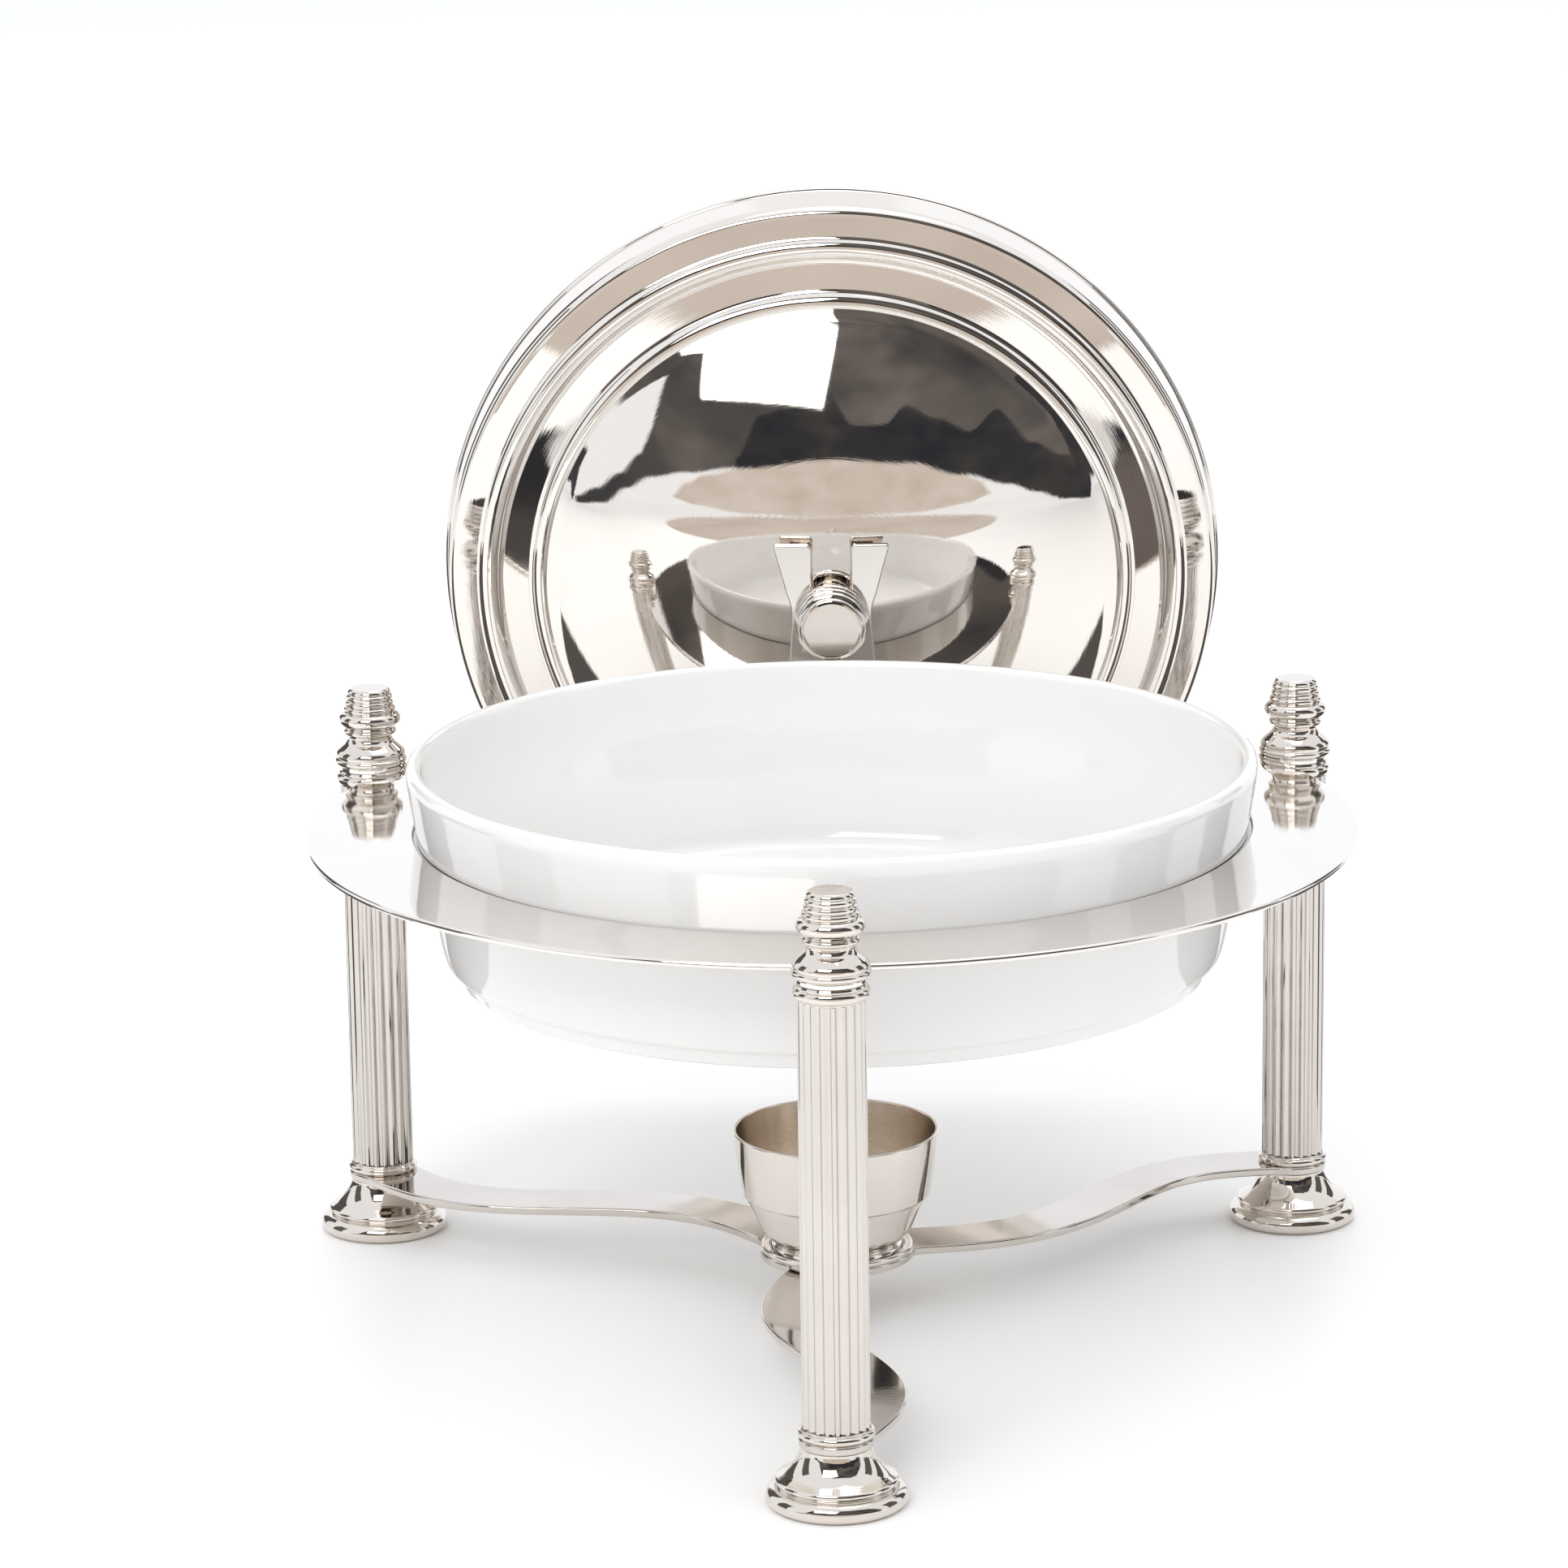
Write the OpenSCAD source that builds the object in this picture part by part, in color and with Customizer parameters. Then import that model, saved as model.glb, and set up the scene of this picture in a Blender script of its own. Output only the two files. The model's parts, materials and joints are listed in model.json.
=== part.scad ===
// Round chafing dish on a three-legged stand. A ring plate on three fluted
// columns carries a lift-out dish; an S-armed stretcher ties the feet and
// carries the fuel cup; the domed lid hangs by its knob from a slotted
// bracket at the back of the ring plate. Millimetres, +Z up, floor at z = 0,
// front of the stand toward -Y.

/* [Stand] */
// Height of the top of the ring plate above the floor
plate_h = 233; // [215:1:250]
// Thickness of the ring plate
plate_t = 3; // [2.5:0.5:4]
// Width of the ring plate from its hole to its edge
plate_w = 48.4; // [46:0.2:54]
// Outer radius of each fluted column
col_r = 14.6; // [13.6:0.2:14.8]
// Number of flutes round each column
flutes = 20; // [16:2:24]
// Width of the stretcher arms
arm_w = 29; // [24:1:31]
// Thickness of the stretcher
arm_t = 4; // [3:0.5:5]
// Sideways swing of the S-shaped stretcher arms
arm_sway = 20; // [12:1:24]

/* [Serving dish] */
// Outer radius of the dish rim
dish_r = 194; // [184:1:204]
// Height of the dish rim above the ring plate
dish_rise = 33; // [28:1:38]
// Depth of the dish below the ring plate
dish_drop = 66; // [58:1:72]
// Thickness of the dish wall
dish_wall = 5; // [4:0.5:6]

/* [Fuel cup] */
// Outer radius of the fuel cup at its rim
cup_r = 47.8; // [45:0.2:50]
// Height of the fuel cup
cup_h = 57; // [52:1:62]
// Thickness of the fuel cup wall
cup_wall = 1.6; // [1.2:0.1:2]

/* [Lid] */
// Depth of the lid from its rim to the flat at the knob
lid_h = 78; // [74:1:86]
// Thickness of the lid sheet
lid_wall = 1.5; // [1.2:0.1:1.8]
// Forward lean of the hanging lid and its bracket in degrees
lid_lean = 7; // [5:0.5:8]
// Height of the knob axis above the ring plate
knob_rise = 48.6; // [46:0.2:54]
// Radius of the knob neck that sits in the bracket slot
neck_r = 9.2; // [8:0.2:9.8]
// Gap between the knob neck and the bracket slot
slot_gap = 0.4; // [0.4:0.1:1]
// Thickness of the lid bracket
bracket_t = 3.6; // [3:0.2:4]

/* [Hidden] */
$fn = 96;
eps = 0.01;
// ring plate
hole_r = dish_r - 2.4;
plate_r = hole_r + plate_w;
z_pt = plate_h;
z_pb = plate_h - plate_t;
leg_c = plate_r + 15;
leg_a = [-90, 30, 150];
// stack of one leg
foot_r = 30.7;
foot_h = 26;
z_arm = foot_h;
z_base = z_arm + arm_t;
base_h = 4.5;
z_col = z_base + base_h;
collar_h = 7.2;
z_collar = z_pb - collar_h;
col_h = z_collar - z_col;
rod_r = 3;
rod_clear = 3.4;
rod_up = 20;
// stretcher
hub_r = 36;
eye_r = 16.5;
e_in = 20;
e_mid = 150;
// lid, its apex and lean
lid_r = dish_r + 1;
apex_y = plate_r - 9;
apex_z = z_pt + knob_rise;
ca = cos(lid_lean);
sa = sin(lid_lean);
flat_r = 13;
// shank of the knob screw
shank_r = 1.9;
dome_r = lid_r - 53.4;
dome_o = 35;
// bracket slab, measured along the knob axis from the lid flat
slab_a = 7;
slab_f = slab_a + bracket_t;
slab_s = (z_pt - apex_z + slab_f * sa) / ca;
slab_y = apex_y - slab_f * ca - slab_s * sa;
brk_foot_t = 3;
brk_foot_l = 23;
screw_x = 13;
screw_y = slab_y - 13;
screw_r = 2;
// knob
drum_a = slab_f + 0.7;
// shift that puts the middle of the footprint on the origin
y_back = apex_y + lid_h * ca + (lid_r - 1.5) * sa;
y_front = leg_c + foot_r;
y0 = -(y_back - y_front) / 2;

// shared helpers
module at_leg(k) {
    translate([0, y0, 0]) rotate([0, 0, leg_a[k]]) translate([leg_c, 0, 0]) children();
}
module at_middle() { translate([0, y0, 0]) children(); }
module at_lid() {
    translate([0, y0 + apex_y, apex_z]) rotate([90 + lid_lean, 0, 0]) children();
}
function unit(v) = v / norm(v);
function side(p, i) = let (n = len(p), a = p[max(i - 1, 0)], b = p[min(i + 1, n - 1)],
    d = unit(b - a)) [d[1], -d[0]];
// second skin a distance t inside an open profile drawn from edge to axis
function inner(p, t) = [for (i = [len(p) - 1 : -1 : 0]) p[i] - t * side(p, i)];

// sideways offset of an arm centre line at distance e from the hub centre
function sway(e) = e < e_mid
    ? -arm_sway * sin(180 * (e - e_in) / (e_mid - e_in))
    : arm_sway * (leg_c - e_mid) / (e_mid - e_in) * sin(180 * (e - e_mid) / (leg_c - e_mid));
function arm_pt(e) = [e, sway(e)];
function arm_n(e) = let (d = unit(arm_pt(e + 0.5) - arm_pt(e - 0.5))) [-d[1], d[0]];

// ---------------------------------------------------------------- stand
module ring_plate() {
    color([0.80, 0.78, 0.75]) at_middle() difference() {
        union() {
            rotate_extrude($fn = 180) polygon([
                [hole_r, z_pb + 0.4], [hole_r + 0.4, z_pb], [plate_r - 0.9, z_pb],
                [plate_r, z_pb + 0.9], [plate_r, z_pt - 0.9], [plate_r - 0.9, z_pt],
                [hole_r + 0.6, z_pt], [hole_r, z_pt - 0.6]]);
            for (a = leg_a) rotate([0, 0, a]) {
                translate([leg_c, 0, z_pb]) cylinder(r = 15.2, h = plate_t);
                translate([plate_r - 8, -8, z_pb]) cube([leg_c - plate_r + 8, 16, plate_t]);
            }
        }
        for (a = leg_a) rotate([0, 0, a])
            translate([leg_c, 0, z_pb - 1]) cylinder(r = rod_clear, h = plate_t + 2, $fn = 48);
        for (s = [-1, 1])
            translate([s * screw_x, screw_y, z_pb - 1]) cylinder(r = screw_r, h = plate_t + 2, $fn = 32);
    }
}

module dish_seat_ring() {
    color([0.66, 0.65, 0.63]) at_middle() rotate_extrude($fn = 180) polygon([
        [hole_r - 4.4, z_pb - 2.5], [hole_r + 9, z_pb - 2.5], [hole_r + 9, z_pb],
        [hole_r + 0.4, z_pb], [hole_r, z_pb + 0.4], [hole_r, z_pt - 1.3],
        [hole_r - 4.4, z_pt - 1.3]]);
}

module bracket_outline() {
    rs = neck_r + slot_gap;
    linear_extrude(height = bracket_t) polygon(concat(
        [[-rs - 1.2, 38], [-27.2, 38], [-28.2, 37.2], [-27.9, 35.4], [-25.3, 25.5],
         [-22.3, 13], [-20.6, 8], [-19.8, 4], [-19.8, -3], [-20.6, -14], [-21.2, -22],
         [-22.4, -34], [-23.4, slab_s - 8], [23.4, slab_s - 8],
         [22.4, -34], [21.2, -22], [20.6, -14], [19.8, -3], [19.8, 4], [20.6, 8],
         [22.3, 13], [25.3, 25.5], [27.9, 35.4], [28.2, 37.2], [27.2, 38],
         [rs + 1.2, 38], [rs + 0.3, 37.4], [rs, 36.2], [rs, 0]],
        [for (i = [1 : 23]) [rs * cos(i * 7.5), -rs * sin(i * 7.5)]],
        [[-rs, 0], [-rs, 36.2], [-rs - 0.3, 37.4]]));
}

module lid_bracket() {
    color([0.80, 0.78, 0.75]) difference() {
        union() {
            at_lid() translate([0, 0, slab_a]) bracket_outline();
            at_middle() translate([-23.4, slab_y - brk_foot_l, z_pt])
                cube([46.8, brk_foot_l + 1.2, brk_foot_t]);
        }
        at_middle() translate([-60, slab_y - 60, z_pt - 40]) cube([120, 120, 40]);
        for (s = [-1, 1]) at_middle() translate([s * screw_x, screw_y, z_pt - 1])
            cylinder(r = screw_r, h = brk_foot_t + 2, $fn = 32);
    }
}

module bracket_screw(s) {
    color([0.72, 0.71, 0.69]) at_middle() translate([s * screw_x, screw_y, 0]) difference() {
        rotate_extrude($fn = 32) polygon([
            [0, z_pb - 1.5], [screw_r - 0.4, z_pb - 1.5], [screw_r, z_pb - 1],
            [screw_r, z_pt + brk_foot_t], [3.9, z_pt + brk_foot_t],
            [3.8, z_pt + brk_foot_t + 1.2], [3.1, z_pt + brk_foot_t + 2],
            [0, z_pt + brk_foot_t + 2.4]]);
        translate([-5, -0.5, z_pt + brk_foot_t + 1.3]) cube([10, 1, 3]);
    }
}
module bracket_screw_left() { bracket_screw(-1); }
module bracket_screw_right() { bracket_screw(1); }

module stretcher() {
    color([0.78, 0.76, 0.73]) at_middle() difference() {
        union() {
            translate([0, 0, z_arm]) cylinder(r = hub_r, h = arm_t);
            for (a = leg_a) rotate([0, 0, a]) {
                translate([0, 0, z_arm]) linear_extrude(height = arm_t) polygon(concat(
                    [for (i = [0 : 30]) let (e = e_in + (leg_c - e_in) * i / 30)
                        arm_pt(e) + arm_w / 2 * arm_n(e)],
                    [for (i = [30 : -1 : 0]) let (e = e_in + (leg_c - e_in) * i / 30)
                        arm_pt(e) - arm_w / 2 * arm_n(e)]));
                translate([leg_c, 0, z_arm]) cylinder(r = eye_r, h = arm_t);
            }
        }
        for (a = leg_a) rotate([0, 0, a])
            translate([leg_c, 0, z_arm - 1]) cylinder(r = rod_clear, h = arm_t + 2, $fn = 48);
    }
}

module burner_seat() {
    color([0.74, 0.72, 0.70]) at_middle() rotate_extrude($fn = 96) polygon([
        [31.6, z_base], [35.2, z_base], [35.2, z_base + 1.6], [34.4, z_base + 2.4],
        [32.4, z_base + 2.4], [31.6, z_base + 1.6]]);
}

module finial(k) {
    color([0.80, 0.78, 0.75]) at_leg(k) translate([0, 0, z_pt]) rotate_extrude($fn = 72) polygon([
        [rod_r, 0], [15.6, 0], [16.8, 0.6], [17.1, 1.6], [16.9, 2.6], [16.3, 3.2],
        [16.5, 4.2], [16.4, 5.4], [15.6, 6.8], [13.6, 8.6], [11.6, 10.2], [10.7, 11.8],
        [10.5, 13.2], [10.9, 14.2], [12.0, 14.8], [12.5, 15.6], [12.4, 16.6], [11.7, 17.2],
        [11.9, 17.8], [13.4, 18.8], [14.5, 20.4], [14.7, 21.8], [14.4, 23.2], [13.4, 24.6],
        [12.0, 25.3], [12.2, 26.0], [12.2, 27.4], [11.2, 27.9], [11.3, 28.6], [11.3, 30.2],
        [10.4, 30.8], [10.9, 31.4], [10.9, 33.2], [10.2, 33.9], [10.1, 34.6], [9.6, 35.6],
        [8.6, 36.5], [0, 36.5], [0, rod_up], [rod_r, rod_up]]);
}
module finial_front() { finial(0); }
module finial_right() { finial(1); }
module finial_left() { finial(2); }

module collar(k) {
    color([0.80, 0.78, 0.75]) at_leg(k) translate([0, 0, z_collar]) rotate_extrude($fn = 72) polygon([
        [rod_clear, 0], [14.9, 0], [15.5, 0.7], [16.3, 1.8], [16.6, 3.4], [16.3, 4.9],
        [15.4, 5.9], [14.8, 6.4], [14.8, collar_h], [rod_clear, collar_h]]);
}
module collar_front() { collar(0); }
module collar_right() { collar(1); }
module collar_left() { collar(2); }

module column(k) {
    color([0.82, 0.80, 0.77]) at_leg(k) translate([0, 0, z_col]) difference() {
        linear_extrude(height = col_h) polygon([for (i = [0 : flutes * 6 - 1])
            let (a = i * 60 / flutes, m = i % 6,
                 d = m == 0 ? 0 : m == 1 ? 0 : m == 2 ? 0.75 : m == 3 ? 1.1 : m == 4 ? 1.1 : 0.75)
            (col_r - d) * [cos(a), sin(a)]]);
        translate([0, 0, -1]) cylinder(r = rod_clear, h = col_h + 2, $fn = 48);
    }
}
module column_front() { column(0); }
module column_right() { column(1); }
module column_left() { column(2); }

module base_ring(k) {
    color([0.80, 0.78, 0.75]) at_leg(k) translate([0, 0, z_base]) rotate_extrude($fn = 72) polygon([
        [rod_clear, 0], [15.4, 0], [16.2, 0.6], [16.6, 1.9], [16.3, 3.2], [15.4, 4.1],
        [14.9, base_h], [rod_clear, base_h]]);
}
module base_ring_front() { base_ring(0); }
module base_ring_right() { base_ring(1); }
module base_ring_left() { base_ring(2); }

module foot(k) {
    color([0.80, 0.78, 0.75]) at_leg(k) rotate_extrude($fn = 96) polygon([
        [10.5, 0], [26.6, 0], [28.6, 0.4], [30.1, 1.7], [foot_r, 3.6], [30.4, 5.6],
        [29.2, 7.5], [27.3, 8.7], [25.6, 9.2], [26.2, 9.9], [26.6, 11.1], [25.9, 12.3],
        [24.4, 13.2], [21.6, 15.0], [18.8, 17.6], [16.9, 20.6], [15.9, 23.4], [15.6, foot_h],
        [rod_clear, foot_h], [rod_clear, 9], [10.5, 9]]);
}
module foot_front() { foot(0); }
module foot_right() { foot(1); }
module foot_left() { foot(2); }

module tie_rod(k) {
    color([0.60, 0.59, 0.57]) at_leg(k) translate([0, 0, 2.5])
        cylinder(r = rod_r, h = z_pt + rod_up - 2.5, $fn = 48);
}
module tie_rod_front() { tie_rod(0); }
module tie_rod_right() { tie_rod(1); }
module tie_rod_left() { tie_rod(2); }

module foot_nut(k) {
    color([0.62, 0.61, 0.59]) at_leg(k) translate([0, 0, 4]) difference() {
        cylinder(r = 6.2, h = 5, $fn = 6);
        translate([0, 0, -1]) cylinder(r = rod_r, h = 7, $fn = 48);
    }
}
module foot_nut_front() { foot_nut(0); }
module foot_nut_right() { foot_nut(1); }
module foot_nut_left() { foot_nut(2); }

// ---------------------------------------------------------------- dish
module serving_dish() {
    w = dish_wall;
    b = -dish_drop;
    color([0.96, 0.96, 0.95]) at_middle() translate([0, 0, z_pt]) rotate_extrude($fn = 180) polygon([
        [0, b + 3], [dish_r - 34, b + 3], [dish_r - 33, b + 2.6], [dish_r - 32.5, b + 0.8],
        [dish_r - 31.8, b], [dish_r - 23.4, b], [dish_r - 22.2, b + 0.5],
        [dish_r - 19.6, b + 5.8], [dish_r - 18.8, b + 7.4], [dish_r - 16.6, b + 8.2],
        [dish_r - 15.6, b + 9.6], [dish_r - 14.4, b + 14], [dish_r - 13.4, b + 19],
        [dish_r - 9.2, -20], [dish_r - 7.4, -4], [dish_r - 7.3, -1],
        [dish_r - 4.4, -1], [dish_r - 4.1, -0.6], [dish_r - 3.7, 3], [dish_r - 2.2, 12],
        [dish_r - 1.1, dish_rise - 13], [dish_r - 0.3, dish_rise - 7.6],
        [dish_r, dish_rise - 4.6], [dish_r - 0.2, dish_rise - 2.6],
        [dish_r - 1.0, dish_rise - 1.0], [dish_r - 2.4, dish_rise - 0.2],
        [dish_r - 3.6, dish_rise], [dish_r - 4.9, dish_rise - 0.3],
        [dish_r - 6.0, dish_rise - 1.2], [dish_r - 6.6, dish_rise - 2.6],
        [dish_r - 6.7, dish_rise - 5], [dish_r - 2.6 - w, 12], [dish_r - 4.4 - w, 0],
        [dish_r - 9.6 - w, -20], [dish_r - 13.8 - w, b + 20], [dish_r - 16 - w, b + 14],
        [dish_r - 20 - w, b + 10.2], [dish_r - 27 - w, b + 8], [dish_r - 38 - w, b + 7],
        [0, b + 7]]);
}

// ---------------------------------------------------------------- fuel cup
function cup_out() = [
    [cup_r, cup_h], [cup_r - 1.5, cup_h - 12], [cup_r - 2.6, cup_h - 22],
    [cup_r - 3.9, cup_h - 30], [cup_r - 5.4, cup_h - 31], [cup_r - 6.2, cup_h - 33.5],
    [cup_r - 8.6, cup_h - 38.4], [cup_r - 12.5, cup_h - 47], [cup_r - 16.4, 5.2],
    [cup_r - 19.5, 4.0]];
module burner_cup() {
    o = cup_out();
    color([0.78, 0.76, 0.73]) at_middle() translate([0, 0, z_base + 0.4]) rotate_extrude($fn = 120) polygon(concat(
        [[0, 1.2], [24, 1.2], [26, 0], [30.4, 0], [30.8, 0.6], [30.4, 2.2], [cup_r - 19, 3.0]],
        [for (i = [len(o) - 2 : -1 : 0]) o[i]],
        [[cup_r - cup_wall * 0.5, cup_h + 0.35], [cup_r - cup_wall, cup_h]],
        [for (i = [1 : len(o) - 2]) o[i] - [cup_wall, i > 6 ? -1.4 : 0]],
        [[cup_r - 22, 4.4], [0, 4.0]]));
}

// ---------------------------------------------------------------- lid
// outer skin, [radius, distance from the rim plane], rim first
function lid_out() = let (h = lid_h - dome_o, rr = dome_r, R = (rr * rr + h * h) / (2 * h),
        a1 = asin(rr / R), a0 = asin(flat_r / R), k = R * (cos(a0) - cos(a1)))
    concat([[lid_r - 1.5, 0], [lid_r - 0.4, 0.5], [lid_r, 1.5], [lid_r - 0.3, 2.6],
        [lid_r - 1.3, 3.2], [lid_r - 1.6, 5], [lid_r - 3.2, 23.6], [lid_r - 4.0, 26.0],
        [lid_r - 5.4, 27.6], [lid_r - 7.6, 28.2], [lid_r - 17.6, 29.6], [lid_r - 18.8, 30.2],
        [lid_r - 20.0, 31.6], [lid_r - 22.0, 32.5], [lid_r - 25.0, 32.6], [lid_r - 27.2, 31.9],
        [lid_r - 28.8, 30.7], [lid_r - 30.6, 30.5], [lid_r - 43.6, 31.6], [lid_r - 45.2, 32.2],
        [lid_r - 46.6, 33.8], [lid_r - 48.6, 35.0], [lid_r - 51.0, 35.4], [lid_r - 52.6, dome_o]],
       [for (i = [0 : 24]) let (a = a1 + (a0 - a1) * i / 24)
           [R * sin(a), dome_o + (R * (cos(a) - cos(a1))) * (lid_h - dome_o) / k]]);

module lid_shell() {
    o = lid_out();
    n = inner(o, lid_wall);
    color([0.80, 0.78, 0.75]) at_lid() translate([0, 0, -lid_h]) rotate_extrude($fn = 180) polygon(concat(
        o, [[shank_r, lid_h], [shank_r, lid_h - lid_wall], [flat_r - 1, lid_h - lid_wall]],
        [for (i = [1 : len(n) - 7]) n[i]],
        [[lid_r - 1.5 - lid_wall, 3.4], [lid_r - 1.5 - lid_wall, 0.4]]));
}

module lid_knob() {
    d = drum_a;
    color([0.80, 0.78, 0.75]) at_lid() rotate_extrude($fn = 96) polygon([
        [shank_r, 0], [11.6, 0], [12.2, 0.8], [11.8, 1.8], [neck_r + 0.6, 2.6], [neck_r, 3.6],
        [neck_r, d], [16.9, d], [18.2, d + 0.7], [18.8, d + 2.2], [18.5, d + 3.7],
        [17.4, d + 4.5], [18.1, d + 5.3], [18.5, d + 6.8], [18.1, d + 8.2], [16.9, d + 9.0],
        [17.4, d + 9.8], [17.7, d + 11.0], [17.2, d + 12.3], [15.9, d + 13.0], [15.2, d + 13.4],
        [15.6, d + 14.2], [15.5, d + 15.3], [14.7, d + 16.2], [13.4, d + 16.6],
        [0, d + 16.6], [0, 16], [shank_r, 16]]);
}

module knob_washer() {
    color([0.62, 0.61, 0.59]) at_lid() rotate_extrude($fn = 64) polygon([
        [shank_r, -lid_wall - 1.4], [10, -lid_wall - 1.4], [10.4, -lid_wall - 1],
        [10.4, -lid_wall], [shank_r, -lid_wall]]);
}

module knob_screw() {
    z = -lid_wall - 1.4;
    color([0.66, 0.65, 0.63]) at_lid() difference() {
        rotate_extrude($fn = 48) polygon([
            [0, z - 3.2], [3.6, z - 2.9], [4.8, z - 1.8], [5, z], [shank_r, z], [shank_r, 16], [0, 16]]);
        translate([-0.6, -6, z - 4]) cube([1.2, 12, 2.4]);
    }
}

ring_plate();
dish_seat_ring();
lid_bracket();
bracket_screw_left();
bracket_screw_right();
stretcher();
burner_seat();
finial_front();
finial_right();
finial_left();
collar_front();
collar_right();
collar_left();
column_front();
column_right();
column_left();
base_ring_front();
base_ring_right();
base_ring_left();
foot_front();
foot_right();
foot_left();
tie_rod_front();
tie_rod_right();
tie_rod_left();
foot_nut_front();
foot_nut_right();
foot_nut_left();
serving_dish();
burner_cup();
lid_shell();
lid_knob();
knob_washer();
knob_screw();
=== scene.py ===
import json
import math

import bpy
from mathutils import Matrix, Vector
from mathutils.geometry import tessellate_polygon


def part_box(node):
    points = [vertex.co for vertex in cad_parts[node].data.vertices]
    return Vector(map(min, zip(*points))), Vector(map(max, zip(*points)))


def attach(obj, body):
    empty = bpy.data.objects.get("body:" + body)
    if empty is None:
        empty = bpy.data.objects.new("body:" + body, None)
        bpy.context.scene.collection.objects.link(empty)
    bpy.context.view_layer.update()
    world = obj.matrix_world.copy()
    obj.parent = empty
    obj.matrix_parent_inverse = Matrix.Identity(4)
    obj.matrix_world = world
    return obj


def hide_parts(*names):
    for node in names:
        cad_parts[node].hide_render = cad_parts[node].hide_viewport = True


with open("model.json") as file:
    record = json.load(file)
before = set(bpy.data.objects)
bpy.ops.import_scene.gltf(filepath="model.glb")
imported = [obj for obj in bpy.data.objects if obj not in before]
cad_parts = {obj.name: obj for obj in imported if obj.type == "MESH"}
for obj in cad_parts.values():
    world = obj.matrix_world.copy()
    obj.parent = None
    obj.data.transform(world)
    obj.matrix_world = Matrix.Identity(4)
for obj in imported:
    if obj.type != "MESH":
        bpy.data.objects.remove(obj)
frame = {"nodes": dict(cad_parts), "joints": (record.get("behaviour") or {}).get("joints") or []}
bpy.context.view_layer.update()
scene = bpy.context.scene
scene.view_settings.view_transform = "Standard"

# ------------------------------------------------------------------ places, from the frame
MM = 0.001
SIDES = ("front", "right", "left")


def mid(node):
    lo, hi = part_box(node)
    return (Vector(lo) + Vector(hi)) / 2


def span(node):
    lo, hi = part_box(node)
    return Vector(lo), Vector(hi)


CX, CY = mid("serving_dish")[0], mid("serving_dish")[1]
plate_lo, plate_hi = span("ring_plate")
Z_PB, Z_PT = plate_lo[2] / MM, plate_hi[2] / MM
DISH_R = (span("serving_dish")[1][0] - span("serving_dish")[0][0]) / 2 / MM
HOLE_R = DISH_R - 2.4
PLATE_R = HOLE_R + 48.4
FOOT_R = (span("foot_front")[1][0] - span("foot_front")[0][0]) / 2 / MM
Z_ARM = span("stretcher")[0][2] / MM
Z_BASE = span("stretcher")[1][2] / MM
Z_COL = span("column_front")[0][2] / MM
Z_COLLAR = span("column_front")[1][2] / MM
COL_R = (span("column_front")[1][0] - span("column_front")[0][0]) / 2 / MM
LEG = {s: (mid("foot_" + s)[0], mid("foot_" + s)[1]) for s in SIDES}
LEG_C = (CY - LEG["front"][1]) / MM
LEG_A = (-90.0, 30.0, 150.0)
lift = [j for j in frame["joints"] if j["name"] == "lid_lift"][0]["axis"]
LEAN = math.atan2(-lift[1], lift[2])
APEX_Y, APEX_Z = PLATE_R - 9, Z_PT + 48.6
LID_R, LID_H, LID_W = DISH_R + 1, 78.0, 1.5


def at(x=0.0, y=0.0, z=0.0, turn=0.0):
    """Object matrix: millimetres from the middle of the stand, turned about Z in degrees."""
    return Matrix.Translation((CX + x * MM, CY + y * MM, z * MM)) @ Matrix.Rotation(math.radians(turn), 4, "Z")


def at_leg(k, z):
    a = math.radians(LEG_A[k])
    return at(LEG_C * math.cos(a), LEG_C * math.sin(a), z)


AT_LID = Matrix.Translation((CX, CY + APEX_Y * MM, APEX_Z * MM)) @ Matrix.Rotation(math.pi / 2 + LEAN, 4, "X")

# ------------------------------------------------------------------ mesh building
ROUND = 999.0


def fillet(points, closed, step=9.0):
    """Rounds the corners of a path. points are (a, b[, radius]); gives (a, b, na, nb) with true normals on the right of the path."""
    n = len(points)
    pts = [(p[0], p[1], p[2] if len(p) > 2 else 0.25) for p in points]
    out = []

    def emit(a, b, na, nb):
        if out and abs(out[-1][0] - a) + abs(out[-1][1] - b) < 1e-5:
            return
        out.append((a, b, na, nb))

    for i in range(n):
        a, b, rad = pts[i]
        if not closed and i in (0, n - 1):
            q = pts[1] if i == 0 else pts[n - 2]
            dx, dy = (q[0] - a, q[1] - b) if i == 0 else (a - q[0], b - q[1])
            ln = math.hypot(dx, dy)
            emit(a, b, dy / ln, -dx / ln)
            continue
        p, q = pts[i - 1], pts[(i + 1) % n]
        d0, d1 = (a - p[0], b - p[1]), (q[0] - a, q[1] - b)
        l0, l1 = math.hypot(*d0), math.hypot(*d1)
        d0, d1 = (d0[0] / l0, d0[1] / l0), (d1[0] / l1, d1[1] / l1)
        turn = math.atan2(d0[0] * d1[1] - d0[1] * d1[0], d0[0] * d1[0] + d0[1] * d1[1])
        if abs(turn) < 1e-4:
            emit(a, b, d0[1], -d0[0])
            continue
        th = math.tan(abs(turn) / 2)
        t = min(rad * th, 0.499 * l0, 0.499 * l1)
        r = t / th
        sgn = 1 if turn > 0 else -1
        cx, cy = a - d0[0] * t - d0[1] * r * sgn, b - d0[1] * t + d0[0] * r * sgn
        m = max(2, int(math.ceil(abs(math.degrees(turn)) / step)))
        for j in range(m + 1):
            w = turn * j / m
            c, s = math.cos(w), math.sin(w)
            na, nb = d0[1] * c + d0[0] * s, -(d0[0] * c - d0[1] * s)
            na, nb = d0[1] * c - (-d0[0]) * s, d0[1] * s + (-d0[0]) * c
            emit(cx + na * r * sgn, cy + nb * r * sgn, na, nb)
    if closed and abs(out[0][0] - out[-1][0]) + abs(out[0][1] - out[-1][1]) < 1e-5:
        out.pop()
    return out


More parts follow.
